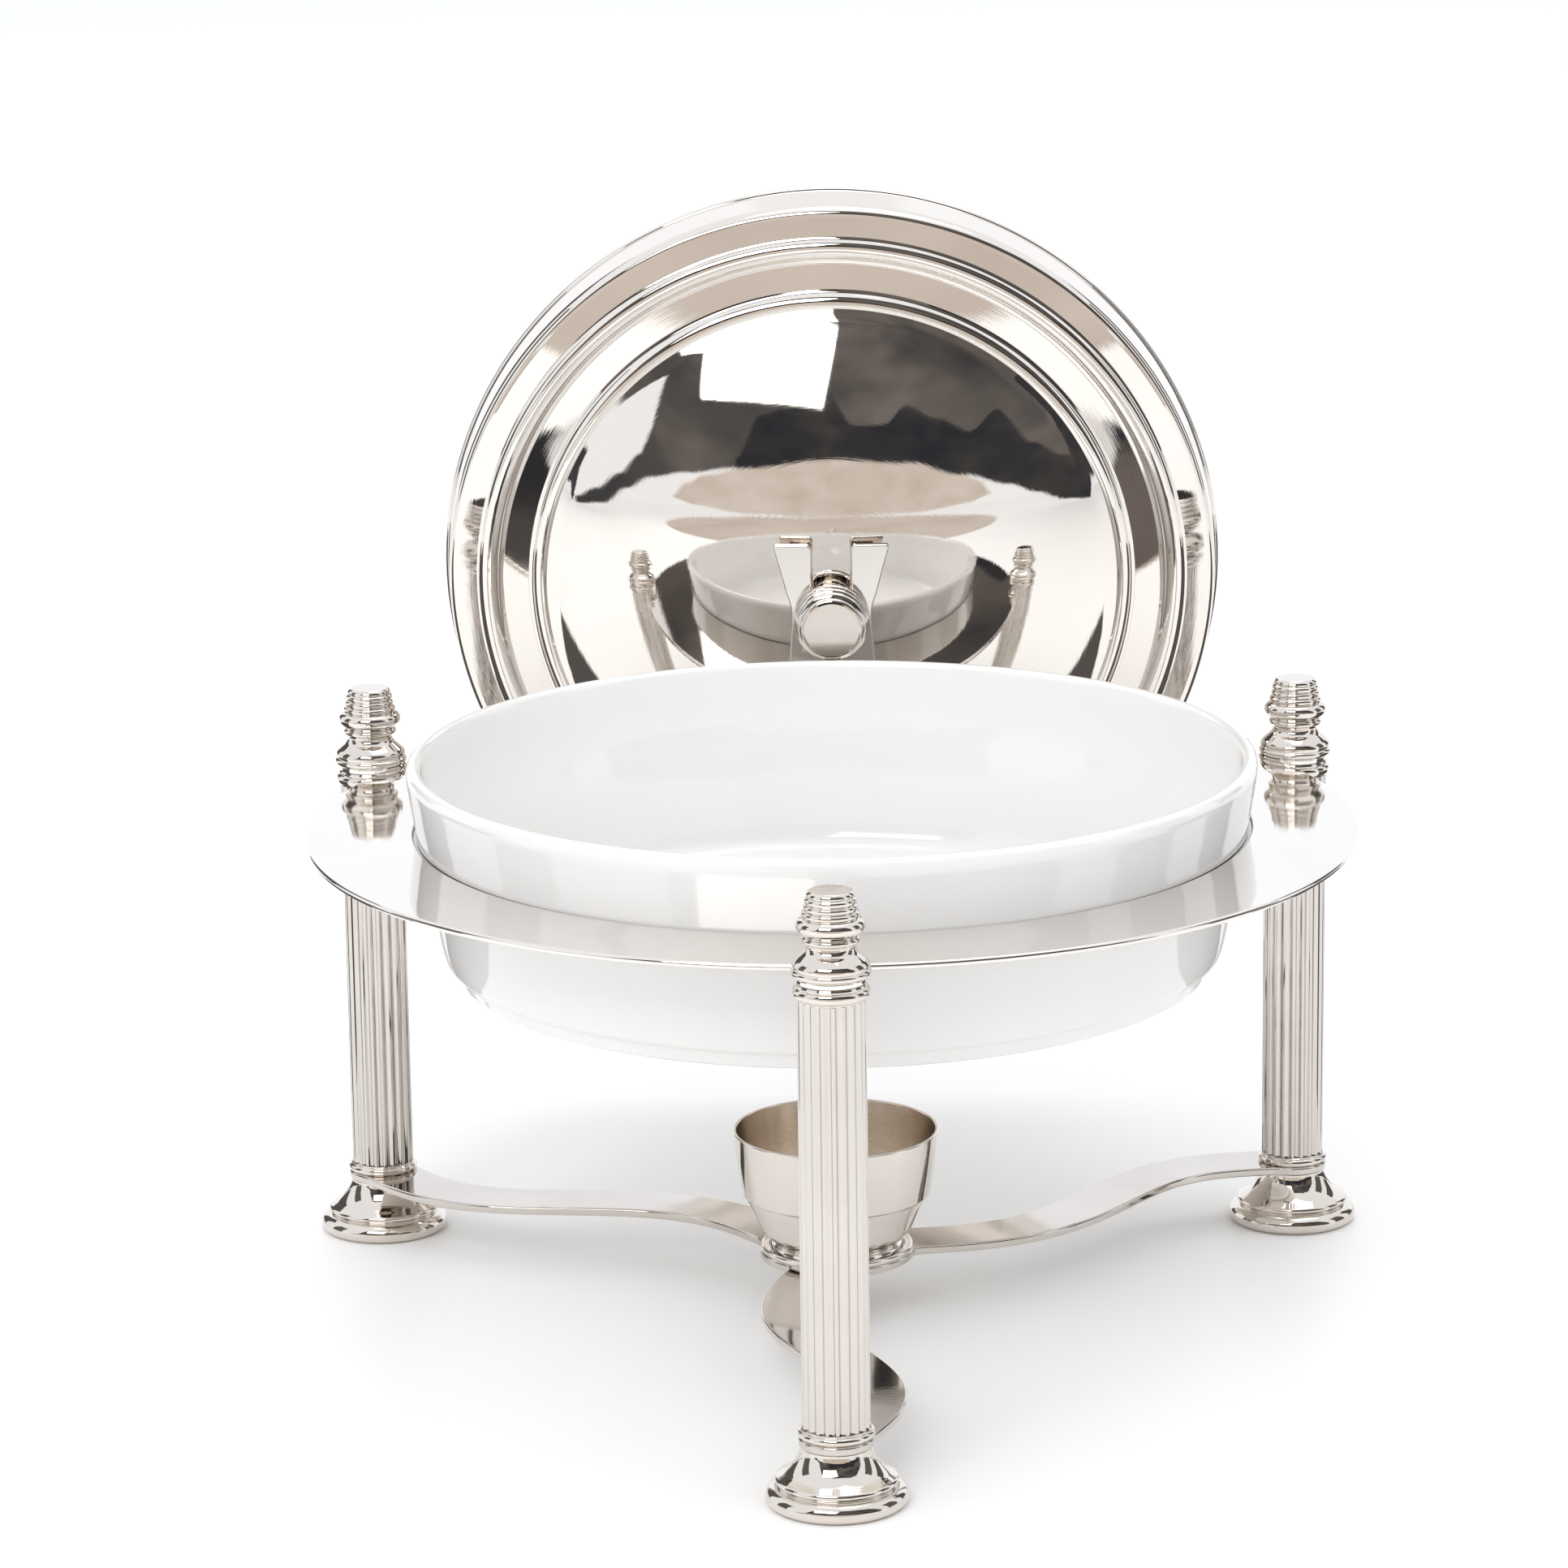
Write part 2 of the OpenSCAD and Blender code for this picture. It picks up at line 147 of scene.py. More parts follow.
def make(name, verts, faces, normals, matrix, mats, mat_of=None):
    me = bpy.data.meshes.new(name)
    me.from_pydata(verts, [], faces)
    for m in mats:
        me.materials.append(m)
    me.polygons.foreach_set("use_smooth", [True] * len(faces))
    if mat_of:
        me.polygons.foreach_set("material_index", mat_of)
    me.validate()
    me.update()
    if normals is not None:
        me.normals_split_custom_set_from_vertices(normals)
    ob = bpy.data.objects.new(name, me)
    scene.collection.objects.link(ob)
    ob.matrix_world = matrix
    return ob


def lathe(name, points, matrix, mats, closed=True, seg=128, step=9.0, second=None, wobble=None):
    """Turns a path of (radius, height[, corner radius]) millimetres about Z. second(radius, height) true gives the second material."""
    prof = fillet(points, closed, step)
    verts, normals, rings = [], [], []
    for r, z, nr, nz in prof:
        if r < 1e-4:
            rings.append([len(verts)])
            verts.append((0, 0, z * MM))
            normals.append((0, 0, 1 if nz > 0 else -1))
            continue
        start = len(verts)
        for k in range(seg):
            a = 2 * math.pi * k / seg
            c, s = math.cos(a), math.sin(a)
            rr = r if wobble is None else r + wobble(a, z)
            verts.append((rr * c * MM, rr * s * MM, z * MM))
            normals.append((nr * c, nr * s, nz))
        rings.append(list(range(start, start + seg)))
    faces, mat_of = [], []
    n = len(rings)
    for i in range(n if closed else n - 1):
        a, b = rings[i], rings[(i + 1) % n]
        if len(a) == 1 and len(b) == 1:
            continue
        j = (i + 1) % n
        which = 1 if second and second((prof[i][0] + prof[j][0]) / 2, (prof[i][1] + prof[j][1]) / 2, prof[i][2], prof[i][3]) else 0
        for k in range(seg):
            k2 = (k + 1) % seg
            if len(a) == 1:
                faces.append((a[0], b[k2], b[k]))
            elif len(b) == 1:
                faces.append((a[k], a[k2], b[0]))
            else:
                faces.append((a[k], a[k2], b[k2], b[k]))
            mat_of.append(which)
    return make(name, verts, faces, normals, matrix, mats, mat_of)


def plate_of(name, loops, t, edge, matrix, mats, levels=5):
    """Flat plate of thickness t with a rounded edge, from a loop of (x, y, nx, ny) millimetres, counter-clockwise."""
    verts, normals, faces = [], [], []
    n = len(loops)
    rows = []
    for half in (0, 1):
        for j in range(levels):
            w = math.radians(-90 + 90 * j / (levels - 1)) if half == 0 else math.radians(90 * j / (levels - 1))
            off = -edge * (1 - math.cos(w))
            z = edge + edge * math.sin(w) if half == 0 else t - edge + edge * math.sin(w)
            rows.append((off, z, math.cos(w), math.sin(w)))
    for off, z, cn, sn in rows:
        for x, y, nx, ny in loops:
            verts.append(((x + nx * off) * MM, (y + ny * off) * MM, z * MM))
            normals.append((nx * cn, ny * cn, sn))
    for j in range(len(rows) - 1):
        for k in range(n):
            k2 = (k + 1) % n
            faces.append((j * n + k, j * n + k2, (j + 1) * n + k2, (j + 1) * n + k))
    top = (len(rows) - 1) * n
    flat = [Vector((verts[top + k][0], verts[top + k][1], 0)) for k in range(n)]
    for a, b, c in tessellate_polygon([flat]):
        cross = (flat[b] - flat[a]).cross(flat[c] - flat[a]).z
        if cross < 0:
            b, c = c, b
        faces.append((top + a, top + b, top + c))
        faces.append((a, c, b))
    return make(name, verts, faces, normals, matrix, mats)


def loop_normals(pts):
    out = []
    n = len(pts)
    for i in range(n):
        a, b = pts[i - 1], pts[(i + 1) % n]
        dx, dy = b[0] - a[0], b[1] - a[1]
        ln = math.hypot(dx, dy)
        out.append((pts[i][0], pts[i][1], dy / ln, -dx / ln))
    return out


def join(a, *others):
    """Adds the other objects' geometry to a, as one piece."""
    bpy.context.view_layer.update()
    verts = [v.co.copy() for v in a.data.vertices]
    faces = [tuple(p.vertices) for p in a.data.polygons]
    normals = [None] * len(verts)
    slots = [p.material_index for p in a.data.polygons]

    def take(me, base, m3):
        for p in me.polygons:
            for li in p.loop_indices:
                normals[base + me.loops[li].vertex_index] = (m3 @ me.corner_normals[li].vector).normalized()

    take(a.data, 0, Matrix.Identity(3))
    inv = a.matrix_world.inverted()
    for o in others:
        m = inv @ o.matrix_world
        base = len(verts)
        verts += [m @ v.co for v in o.data.vertices]
        normals += [None] * len(o.data.vertices)
        take(o.data, base, m.to_3x3())
        faces += [tuple(base + i for i in p.vertices) for p in o.data.polygons]
        slots += [p.material_index for p in o.data.polygons]
    normals = [tuple(x) if x is not None else (0, 0, 1) for x in normals]
    name, matrix = a.name, a.matrix_world.copy()
    mats = list(a.data.materials)
    for o in (a, *others):
        me = o.data
        bpy.data.objects.remove(o)
        bpy.data.meshes.remove(me)
    return make(name, verts, faces, normals, matrix, mats, slots)


def piece(ob, body, slot, *nodes):
    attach(ob, body)
    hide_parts(*nodes)
    return ob


# ------------------------------------------------------------------ materials
class Nodes:
    """Small helper for building node materials."""

    def __init__(self, name):
        self.mat = bpy.data.materials.new(name)
        self.mat.use_nodes = True
        self.tree = self.mat.node_tree
        self.tree.nodes.clear()
        self.out = self.tree.nodes.new("ShaderNodeOutputMaterial")
        self.x = 0

    def add(self, kind, **props):
        n = self.tree.nodes.new(kind)
        for k, v in props.items():
            setattr(n, k, v)
        return n

    def link(self, a, b):
        self.tree.links.new(a, b)

    def math(self, op, a, b=None, clamp=False):
        n = self.add("ShaderNodeMath", operation=op, use_clamp=clamp)
        for i, v in enumerate((a, b)):
            if v is None:
                continue
            if hasattr(v, "is_output"):
                self.link(v, n.inputs[i])
            else:
                n.inputs[i].default_value = v
        return n.outputs[0]

    def coords(self):
        return self.add("ShaderNodeTexCoord").outputs["Object"]

    def polar(self, radial, height, around):
        """Object coordinates as (radius, height, angle), each scaled, so that a noise on them follows turning marks."""
        sep = self.add("ShaderNodeSeparateXYZ")
        self.link(self.coords(), sep.inputs[0])
        x, y, z = sep.outputs
        r = self.math("SQRT", self.math("ADD", self.math("MULTIPLY", x, x), self.math("MULTIPLY", y, y)))
        ang = self.math("ARCTAN2", y, x)
        com = self.add("ShaderNodeCombineXYZ")
        self.link(self.math("MULTIPLY", r, radial), com.inputs[0])
        self.link(self.math("MULTIPLY", z, height), com.inputs[1])
        self.link(self.math("MULTIPLY", ang, around), com.inputs[2])
        return com.outputs[0]

    def scaled(self, x, y, z):
        m = self.add("ShaderNodeMapping")
        m.inputs["Scale"].default_value = (x, y, z)
        self.link(self.coords(), m.inputs["Vector"])
        return m.outputs[0]

    def noise(self, vector, scale, detail=2.0, rough=0.5, distortion=0.0):
        n = self.add("ShaderNodeTexNoise")
        n.inputs["Scale"].default_value = scale
        n.inputs["Detail"].default_value = detail
        n.inputs["Roughness"].default_value = rough
        n.inputs["Distortion"].default_value = distortion
        self.link(vector, n.inputs["Vector"])
        return n.outputs["Fac"]

    def ramp(self, fac, stops):
        n = self.add("ShaderNodeValToRGB")
        e = n.color_ramp.elements
        while len(e) < len(stops):
            e.new(0.5)
        for i, (pos, col) in enumerate(stops):
            e[i].position = pos
            e[i].color = (*col, 1) if len(col) == 3 else col
        self.link(fac, n.inputs[0])
        return n.outputs[0]

    def span(self, fac, a, b, lo, hi):
        n = self.add("ShaderNodeMapRange", clamp=True)
        for i, v in zip((1, 2, 3, 4), (a, b, lo, hi)):
            n.inputs[i].default_value = v
        self.link(fac, n.inputs[0])
        return n.outputs[0]

    def bump(self, height, distance, strength=1.0, normal=None):
        n = self.add("ShaderNodeBump")
        n.inputs["Distance"].default_value = distance
        n.inputs["Strength"].default_value = strength
        self.link(height, n.inputs["Height"])
        if normal is not None:
            self.link(normal, n.inputs["Normal"])
        return n.outputs[0]

    def principled(self, **values):
        n = self.add("ShaderNodeBsdfPrincipled")
        for k, v in values.items():
            key = k.replace("_", " ")
            if hasattr(v, "is_output"):
                self.link(v, n.inputs[key])
            else:
                n.inputs[key].default_value = v
        self.link(n.outputs[0], self.out.inputs["Surface"])
        return n


def metal(name, light, dark, rough, marks="turned", wave=0.00008, scratch=0.04, peel=0.0, fine=1.0):
    """Polished or satin metal: slow smudges, directional hairlines and a faint waviness."""
    n = Nodes(name)
    if marks == "turned":
        lines = n.noise(n.polar(1400 * fine, 1400 * fine, 3.0), 1.0, 3.0, 0.6)
        hair = n.noise(n.polar(5200 * fine, 5200 * fine, 5.0), 1.0, 2.0, 0.6)
    elif marks == "drawn":
        lines = n.noise(n.scaled(900 * fine, 900 * fine, 9), 1.0, 3.0, 0.6)
        hair = n.noise(n.scaled(3600 * fine, 3600 * fine, 24), 1.0, 2.0, 0.6)
    else:
        lines = n.noise(n.scaled(240 * fine, 900 * fine, 240 * fine), 1.0, 3.0, 0.6, 0.3)
        hair = n.noise(n.scaled(1100 * fine, 3800 * fine, 1100 * fine), 1.0, 2.0, 0.6, 0.4)
    cloud = n.noise(n.coords(), 16.0, 4.0, 0.6)
    colour = n.ramp(cloud, [(0.3, light), (0.72, dark)])
    smudge = n.span(cloud, 0.45, 0.75, 0.0, rough * 0.7 + 0.008)
    drawn = n.span(hair, 0.52, 0.74, 0.0, scratch)
    total = n.math("ADD", n.math("ADD", smudge, drawn), rough)
    wavy = n.noise(n.coords(), 26.0, 1.0, 0.4)
    nor = n.bump(wavy, wave)
    nor = n.bump(lines, 0.000004 * (1 + 20 * scratch), 1.0, nor)
    if peel:
        nor = n.bump(n.noise(n.coords(), 420.0, 2.0, 0.5), peel, 1.0, nor)
    n.principled(Base_Color=colour, Metallic=1.0, Roughness=total, Normal=nor)
    return n.mat


NICKEL = metal("nickel_turned", (0.800, 0.750, 0.700), (0.735, 0.680, 0.622), 0.030, "turned", 0.00006, 0.03)
NICKEL_LID = metal("nickel_spun", (0.862, 0.818, 0.772), (0.836, 0.788, 0.738), 0.020, "turned", 0.00010, 0.018)
NICKEL_FLAT = metal("nickel_flat", (0.872, 0.838, 0.802), (0.842, 0.806, 0.768), 0.032, "flat", 0.00008, 0.03)
# columns: a darker copy of the nickel, painted shade for the shadowed floor around them that they reflect
NICKEL_COL_PAINTED_SHADE = metal("nickel_drawn_painted_shade", (0.700, 0.660, 0.622), (0.640, 0.598, 0.558), 0.045, "drawn", 0.00005, 0.06)
# stretcher arms: a darker copy of the flat nickel, painted shade for the arms lying under the dish and plate
NICKEL_ARM_PAINTED_SHADE = metal("nickel_arm_painted_shade", (0.690, 0.648, 0.608), (0.610, 0.566, 0.524), 0.040, "flat", 0.00008, 0.04)
LID_INSIDE = metal("nickel_lid_inside", (0.760, 0.716, 0.664), (0.710, 0.662, 0.608), 0.16, "turned", 0.00010, 0.12)
CUP_OUT = metal("cup_polished", (0.820, 0.776, 0.728), (0.772, 0.724, 0.672), 0.06, "turned", 0.00008, 0.06)
CUP_IN = metal("cup_satin", (0.900, 0.820, 0.735), (0.840, 0.750, 0.655), 0.17, "turned", 0.00008, 0.12)
SATIN = metal("steel_satin", (0.640, 0.625, 0.600), (0.560, 0.545, 0.520), 0.28, "turned", 0.00005, 0.12)
FIXING = metal("steel_fixing", (0.620, 0.600, 0.570), (0.540, 0.520, 0.490), 0.22, "flat", 0.00003, 0.10)


def porcelain():
    n = Nodes("porcelain_glaze")
    cloud = n.noise(n.coords(), 11.0, 3.0, 0.55)
    colour = n.ramp(cloud, [(0.3, (0.835, 0.822, 0.804)), (0.75, (0.812, 0.799, 0.782))])
    peel = n.noise(n.coords(), 95.0, 2.0, 0.5)
    speck = n.noise(n.coords(), 900.0, 1.0, 0.5)
    rough = n.span(peel, 0.4, 0.8, 0.055, 0.11)
    nor = n.bump(n.noise(n.coords(), 21.0, 1.0, 0.4), 0.00022)
    nor = n.bump(peel, 0.000025, 1.0, nor)
    nor = n.bump(n.span(speck, 0.70, 0.80, 0.0, 1.0), 0.000006, 1.0, nor)
    n.principled(Base_Color=colour, Roughness=rough, Normal=nor, IOR=1.5, Coat_Weight=0.35, Coat_Roughness=0.03)
    return n.mat


PORCELAIN = porcelain()

# ------------------------------------------------------------------ stand
R = ROUND
ring = lathe("ring_plate_polished", [
    (HOLE_R, Z_PB, 0.5), (PLATE_R, Z_PB, 1.3), (PLATE_R, Z_PT, 1.5), (HOLE_R, Z_PT, 0.6)],
    at(), [NICKEL_FLAT], seg=288, step=18)
ears = []
for k in range(3):
    arc = [(LEG_C - PLATE_R + 15.2 * math.cos(math.radians(a)), 15.2 * math.sin(math.radians(a)))
           for a in range(-148, 149, 8)]
    a = math.radians(LEG_A[k])
    ears.append(plate_of("ear", fillet([(x, y, R) for x, y in arc] + [(-6, 8, 1.2), (-6, -8, 1.2)], True),
                         Z_PT - Z_PB - 0.04, 0.9, at(PLATE_R * math.cos(a), PLATE_R * math.sin(a), Z_PB + 0.02, LEG_A[k]),
                         [NICKEL_FLAT], 4))
piece(join(ring, *ears), "frame", "polished_nickel", "ring_plate")

piece(lathe("dish_seat_satin", [
    (HOLE_R - 4.4, Z_PB - 2.5, 0.6), (HOLE_R + 9, Z_PB - 2.5, 0.8), (HOLE_R + 9, Z_PB, 0.2),
    (HOLE_R, Z_PB, 0.3), (HOLE_R, Z_PT - 1.3, 0.5), (HOLE_R - 4.4, Z_PT - 1.3, 0.5)],
    at(), [SATIN], seg=256), "frame", "satin_steel", "dish_seat_ring")

# lid bracket: slab with an open slot, and its foot
RS = 9.6
side = [(-25.3, 25.5, R), (-22.3, 13, R), (-20.6, 8, R), (-19.8, 4, R), (-19.8, -3, R),
        (-20.6, -14, R), (-21.2, -22, R), (-22.4, -34, R)]
path = [(-RS - 1.4, 38, 1.4), (-28.9, 38, 1.6)] + side + [(-23.4, -48.0, 1.2), (23.4, -48.0, 1.2)]
path += [(-x, y, r) for x, y, r in reversed(side)] + [(28.9, 38, 1.6), (RS + 1.4, 38, 1.4), (RS, 35.6, 3.0), (RS, 0, R)]
path += [(RS * math.cos(math.radians(a)), -RS * math.sin(math.radians(a)), R) for a in range(12, 180, 12)]
path += [(-RS, 0, R), (-RS, 35.6, 3.0)]
slab = plate_of("lid_bracket_bent", fillet(path, True), 3.6, 1.1, AT_LID @ Matrix.Translation((0, 0, 7 * MM)), [NICKEL_FLAT], 6)
ca, sa = math.cos(LEAN), math.sin(LEAN)
slab_s = (Z_PT - APEX_Z + 10.6 * sa) / ca
slab_y = APEX_Y - 10.6 * ca - slab_s * sa
foot = plate_of("foot", fillet([(-23.4, 0, 5.0), (23.4, 0, 5.0), (23.4, 24.6, 0.9), (-23.4, 24.6, 0.9)], True), 3.0, 0.8,
                at(0, slab_y - 23, Z_PT), [NICKEL_FLAT])
rad = 3.2
cove = [(0.0, 0.0)] + [(-rad + rad * math.sin(math.radians(a)), rad - rad * math.cos(math.radians(a))) for a in range(0, 91, 10)][1:]
cv, cf, cn = [], [], []
for x in (-22.4, 22.4):
    for j in range(11):
        w = math.radians(9 * j)
        cv.append((x * MM, (-rad + rad * math.sin(w) - 0.2) * MM, (rad - rad * math.cos(w)) * MM))
        cn.append((0, -math.sin(w), math.cos(w)))
    cv.append((x * MM, 1.0 * MM, -0.6 * MM))
    cn.append((1 if x > 0 else -1, 0, 0))
m = 12
for j in range(10):
    cf.append((j, j + 1, m + j + 1, m + j))
cf += [(10, 11, m + 11, m + 10), (11, 0, m, m + 11), tuple(range(11, -1, -1)), tuple(range(m, 2 * m))]
bend = make("bend", cv, cf, cn, at(0, slab_y, Z_PT + 3.0), [NICKEL_FLAT])
piece(join(slab, foot, bend), "frame", "polished_nickel", "lid_bracket")

# stretcher: three S arms from a hub, with an eye under each column
E_IN, E_MID, SWAY, ARM_W, HUB_R, EYE_R, ARM_T = 20.0, 150.0, 20.0, 29.0, 36.0, 16.5, Z_BASE - Z_ARM


def arm_at(e):
    if e < E_MID:
        return Vector((e, -SWAY * math.sin(math.pi * (e - E_IN) / (E_MID - E_IN))))
    return Vector((e, SWAY * (LEG_C - E_MID) / (E_MID - E_IN) * math.sin(math.pi * (e - E_MID) / (LEG_C - E_MID))))


def arm_edge(e, s):
    d = (arm_at(e + 0.5) - arm_at(e - 0.5)).normalized()
    return arm_at(e) + Vector((-d.y, d.x)) * s * ARM_W / 2


def turned(p, deg):
    a = math.radians(deg)
    return Vector((p.x * math.cos(a) - p.y * math.sin(a), p.x * math.sin(a) + p.y * math.cos(a)))


outline = []
eye = Vector((LEG_C, 0))
for k in range(3):
    es = [E_IN + (LEG_C - E_IN) * i / 240 for i in range(241)]
    right = [p for p in (arm_edge(e, -1) for e in es) if p.length > HUB_R and (p - eye).length > EYE_R]
    left = [p for p in (arm_edge(e, 1) for e in es) if p.length > HUB_R and (p - eye).length > EYE_R]
    left.reverse()
    a0, a1 = math.atan2(*reversed(right[-1] - eye)), math.atan2(*reversed(left[0] - eye))
    a1 += 2 * math.pi if a1 < a0 else 0
    tip = [eye + EYE_R * Vector((math.cos(a0 + (a1 - a0) * i / 60), math.sin(a0 + (a1 - a0) * i / 60))) for i in range(61)]
    outline += [turned(p, LEG_A[k]) for p in right + tip + left]
    b0 = math.atan2(outline[-1].y, outline[-1].x)
    first = turned(right[0], LEG_A[(k + 1) % 3])
    b1 = math.atan2(first.y, first.x)
    b1 += 2 * math.pi if b1 < b0 else 0
    outline += [HUB_R * Vector((math.cos(b0 + (b1 - b0) * i / 30), math.sin(b0 + (b1 - b0) * i / 30))) for i in range(1, 30)]
# even spacing, then a light smoothing that fillets the inner corners
total = sum((outline[i] - outline[i - 1]).length for i in range(len(outline)))
count = int(total / 1.7)
even, i, run, n_out = [], 0, 0.0, len(outline)
for c in range(count):
    want = total * c / count
    while run + (outline[(i + 1) % n_out] - outline[i % n_out]).length < want:
        run += (outline[(i + 1) % n_out] - outline[i % n_out]).length
        i += 1
    a, b = outline[i % n_out], outline[(i + 1) % n_out]
    ln = (b - a).length
    even.append(a.lerp(b, (want - run) / ln if ln > 1e-9 else 0))
for _ in range(6):
    even = [(even[j - 1] + 2 * even[j] + even[(j + 1) % count]) / 4 for j in range(count)]
piece(plate_of("stretcher_arms", loop_normals([(p.x, p.y) for p in even]), ARM_T, 1.1, at(0, 0, Z_ARM), [NICKEL_ARM_PAINTED_SHADE]),
      "frame", "polished_nickel", "stretcher")

piece(lathe("burner_seat_ring", [
    (31.6, Z_BASE, 0.1), (35.2, Z_BASE, 0.1), (35.2, Z_BASE + 2.4, 1.4), (31.6, Z_BASE + 2.4, 1.0)],
    at(), [NICKEL], seg=128), "frame", "polished_nickel", "burner_seat")

G = 0.3
FINIAL = [(3.0, 0, 0.2), (16.2, 0, 0.4), (17.1, 0.9, R), (17.1, 2.4, R), (16.2, 3.2, G), (16.6, 4.2, R), (16.4, 5.5, R),
          (15.6, 6.9, R), (13.6, 8.7, R), (11.6, 10.3, R), (10.6, 11.9, R), (10.5, 13.3, 0.8), (11.2, 14.3, 0.5),
          (12.2, 14.6, R), (12.6, 15.6, R), (12.3, 16.6, R), (11.5, 17.2, G), (12.0, 17.8, R), (13.5, 18.9, R),
          (14.6, 20.4, R), (14.8, 21.9, R), (14.4, 23.3, R), (13.4, 24.5, R), (11.8, 25.2, G), (12.3, 25.8, R),
          (12.4, 26.7, R), (12.1, 27.6, R), (11.0, 28.1, G), (11.4, 28.7, R), (11.5, 29.6, R), (11.2, 30.4, R),
          (10.2, 30.9, G), (10.9, 31.5, R), (11.05, 32.4, R), (10.8, 33.3, R), (9.9, 33.9, G), (10.3, 34.6, R),
          (9.9, 35.7, R), (9.0, 36.5, 0.5), (4.5, 36.5, R), (0, 36.5)]
COLLAR = [(3.4, 0, 0.2), (14.7, 0, 0.2), (14.9, 0.6, G), (15.9, 1.2, R), (16.5, 2.4, R), (16.6, 3.6, R), (16.2, 4.9, R),
          (15.2, 5.7, G), (15.3, 6.3, 0.4), (14.9, 7.2, 0.15), (3.4, 7.2, 0.2)]
BASE = [(3.4, 0, 0.2), (15.4, 0, 0.15), (16.3, 0.8, R), (16.6, 1.9, R), (16.2, 3.1, R), (15.2, 3.7, G), (15.4, 4.1, 0.2),
        (14.9, 4.5, 0.1), (3.4, 4.5, 0.2)]
FOOT = [(3.4, 9, 0.2), (10.5, 9, 0.4), (10.5, 0, 0.4), (27.4, 0, 1.2), (29.4, 0.9, R), (30.4, 2.2, R), (FOOT_R, 3.8, R),
        (30.4, 5.6, R), (29.4, 7.2, R), (27.7, 8.4, R), (25.5, 9.1, G), (26.3, 9.9, R), (26.7, 11.0, R), (26.2, 12.2, R),
        (24.7, 13.1, 1.6), (21.6, 15.0, R), (18.9, 17.6, R), (17.0, 20.6, R), (16.0, 23.4, R), (15.6, 25.2, R),
        (15.6, 26, 0.15), (3.4, 26, 0.2)]
FLUTES = 20


def flute_loop(turn):
    """Cross-section with concave flutes between narrow lands, as points with outward normals."""
    per, pts = 18, []
    land = 0.30
    for f in range(FLUTES):
        for j in range(per):
            u = j / per
            a = 2 * math.pi * (f + u) / FLUTES + math.radians(turn)
            if u < land:
                d = 0.0
            else:
                w = (u - land) / (1 - land)
                d = 1.12 * math.sin(math.pi * w) ** 0.8
            pts.append(((COL_R - d) * math.cos(a), (COL_R - d) * math.sin(a)))
    return loop_normals(pts)


h = Z_COLLAR - Z_COL
for k, s in enumerate(SIDES):
    body = "frame"
    piece(lathe("finial_turned_" + s, FINIAL, at_leg(k, Z_PT), [NICKEL], closed=False, seg=96), body, "polished_nickel", "finial_" + s)
    piece(lathe("collar_turned_" + s, COLLAR, at_leg(k, Z_COLLAR), [NICKEL], seg=96), body, "polished_nickel", "collar_" + s)
    col = plate_of("column_fluted_" + s, flute_loop(LEG_A[k]), h, 0.25, at_leg(k, Z_COL), [NICKEL_COL_PAINTED_SHADE], 2)
    piece(col, body, "polished_nickel", "column_" + s)
    piece(lathe("base_ring_turned_" + s, BASE, at_leg(k, Z_BASE), [NICKEL], seg=96), body, "polished_nickel", "base_ring_" + s)
    piece(lathe("foot_turned_" + s, FOOT, at_leg(k, 0), [NICKEL], seg=128), body, "polished_nickel", "foot_" + s)

# ------------------------------------------------------------------ dish
D, b, rise, w = DISH_R, -66.0, 33.0, 5.0
DISH = [(0, b + 3), (D - 34, b + 3, R), (D - 32.8, b + 2.2, 0.6), (D - 32.3, b + 0.6, 0.6), (D - 31.4, b, 0.8),
        (D - 23.4, b, 1.0), (D - 22.0, b + 0.7, 1.0), (D - 19.8, b + 5.6, R), (D - 18.8, b + 7.4, 0.8),
        (D - 16.8, b + 8.2, 0.8), (D - 15.6, b + 9.8, R), (D - 14.4, b + 14, R), (D - 13.4, b + 19, R),
        (D - 9.2, -20, R), (D - 7.4, -4, R), (D - 7.3, -1, 0.6), (D - 4.2, -1, 0.6), (D - 3.7, 3, R),
        (D - 2.2, 12, R), (D - 1.1, rise - 13, R), (D - 0.35, rise - 7.8, R), (D, rise - 4.6, R),
        (D - 0.2, rise - 2.6, R), (D - 1.0, rise - 1.0, R), (D - 2.4, rise - 0.15, R), (D - 3.6, rise, R),
        (D - 4.9, rise - 0.3, R), (D - 6.0, rise - 1.2, R), (D - 6.6, rise - 2.6, R), (D - 6.8, rise - 5, R),
        (D - 2.6 - w, 12, R), (D - 4.4 - w, 0, R), (D - 9.6 - w, -20, R), (D - 13.8 - w, b + 20, R),
        (D - 16 - w, b + 14, R), (D - 20 - w, b + 10.2, R), (D - 27 - w, b + 8, R), (D - 38 - w, b + 7, 8), (60, b + 7, R), (0, b + 7)]
piece(lathe("serving_dish_glazed", DISH, at(0, 0, Z_PT), [PORCELAIN], closed=False, seg=256), "dish", "white_porcelain", "serving_dish")

# ------------------------------------------------------------------ fuel cup
cup_lo, cup_hi = span("burner_cup")
c, ch, cw = (cup_hi[0] - cup_lo[0]) / 2 / MM, 57.0, 1.6
outer = [(c - 19.5, 4.0, R), (c - 16.4, 5.4, R), (c - 14.6, 7.2, R), (c - 12.5, ch - 46.6, R), (c - 8.8, ch - 38.4, R),
         (c - 6.4, ch - 33.5, R), (c - 5.4, ch - 31.2, 0.7), (c - 4.0, ch - 30, 0.7), (c - 2.7, ch - 22, R), (c - 1.4, ch - 12, R)]
CUP = [(0, 1.2), (22, 1.2, R), (24.4, 1.1, 1.0), (26, 0, 0.5), (30.2, 0, 0.7), (30.8, 0.9, 0.5), (30.2, 2.4, 0.8), (c - 19.2, 3.2, 0.8)]
CUP += outer[1:] + [(c, ch - 0.1, 0.7), (c - cw, ch + 0.25, 0.7)]
CUP += [(r - cw, z, q) for r, z, q in reversed(outer[4:])] + [(c - 12.5 - cw, ch - 45.2, R), (c - 16.8 - cw, 7.0, R), (c - 22, 4.5, R), (10, 4.1, R), (0, 4.0)]
